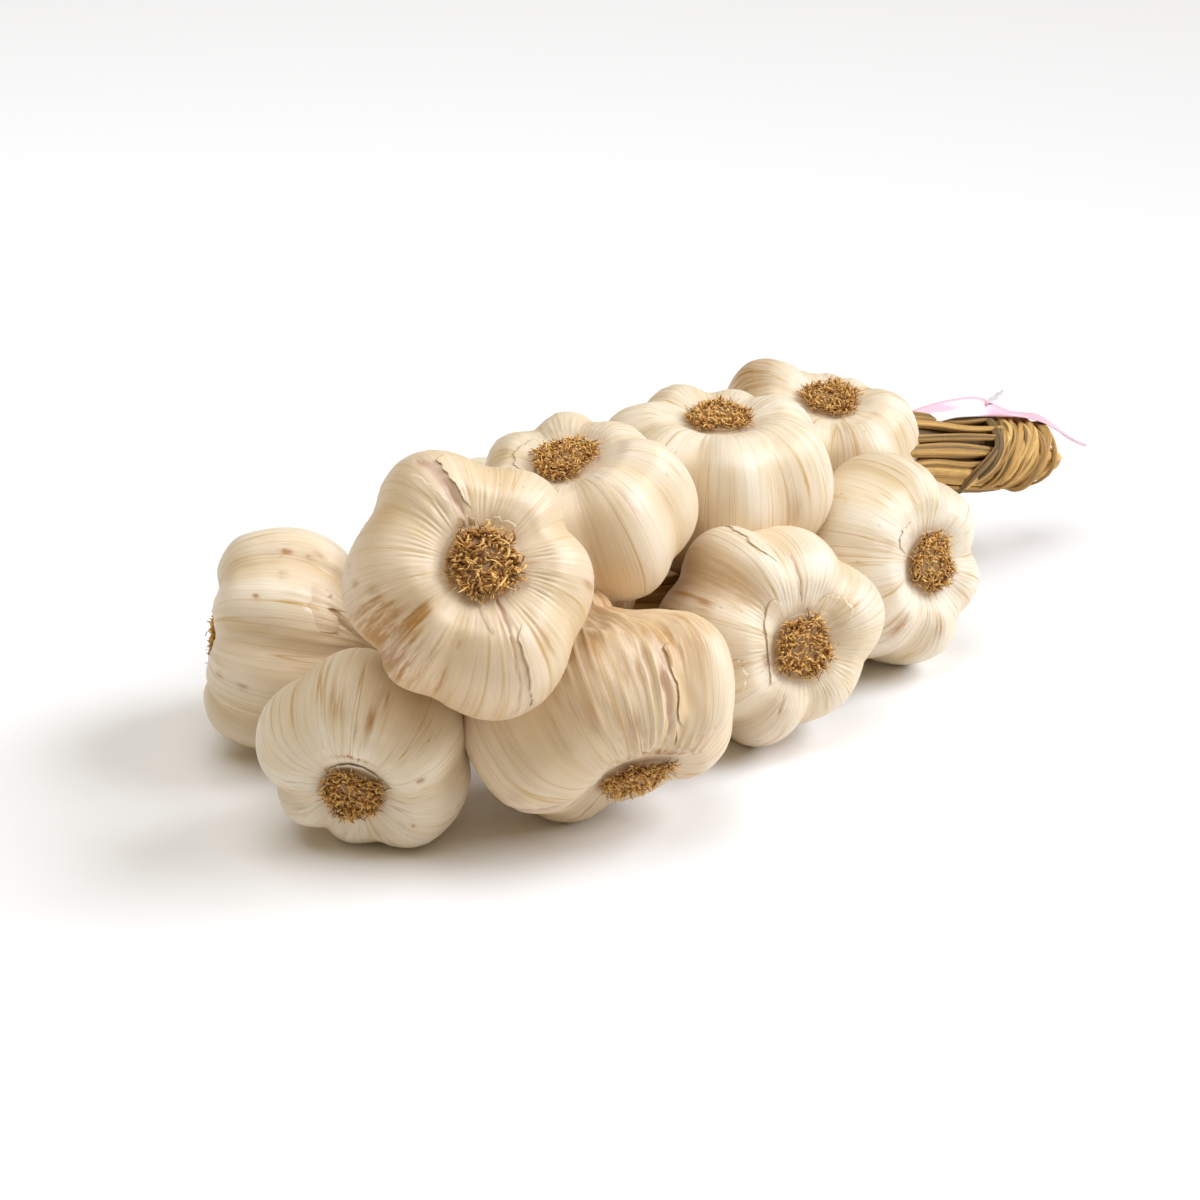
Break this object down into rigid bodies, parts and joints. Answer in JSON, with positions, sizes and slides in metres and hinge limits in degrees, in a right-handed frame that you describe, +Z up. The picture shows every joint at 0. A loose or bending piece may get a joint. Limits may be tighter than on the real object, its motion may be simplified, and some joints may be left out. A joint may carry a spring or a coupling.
{
  "type": "garlic braid",
  "caption": "Braid of dried garlic bulbs lying on a table, root ends outwards, necks plaited into one tail of dry stems with a thin ribbon knotted on it.",
  "frame": {"origin": "on the table, under the middle of the braid's box", "axes": "+X along the braid from the bulbs to the plait's free end, +Y to its left, +Z up"},
  "size_m": [0.3124, 0.154, 0.1036],
  "materials": {
    "skin": "dry papery skin, satin",
    "stem": "dry fibrous stem, matte",
    "ribbon": "thin film, semi-gloss"
  },
  "bodies": {
    "root": {"bulb_front": "skin", "bulb_left_front": "skin", "bulb_right_front": "skin", "bulb_top_front": "skin", "bulb_right_middle": "skin", "bulb_left_middle": "skin", "bulb_top_second": "skin", "bulb_right_back": "skin", "bulb_left_back": "skin", "bulb_top_third": "skin", "bulb_top_back": "skin", "plait": "stem", "ribbon": "ribbon"}
  },
  "joints": []
}
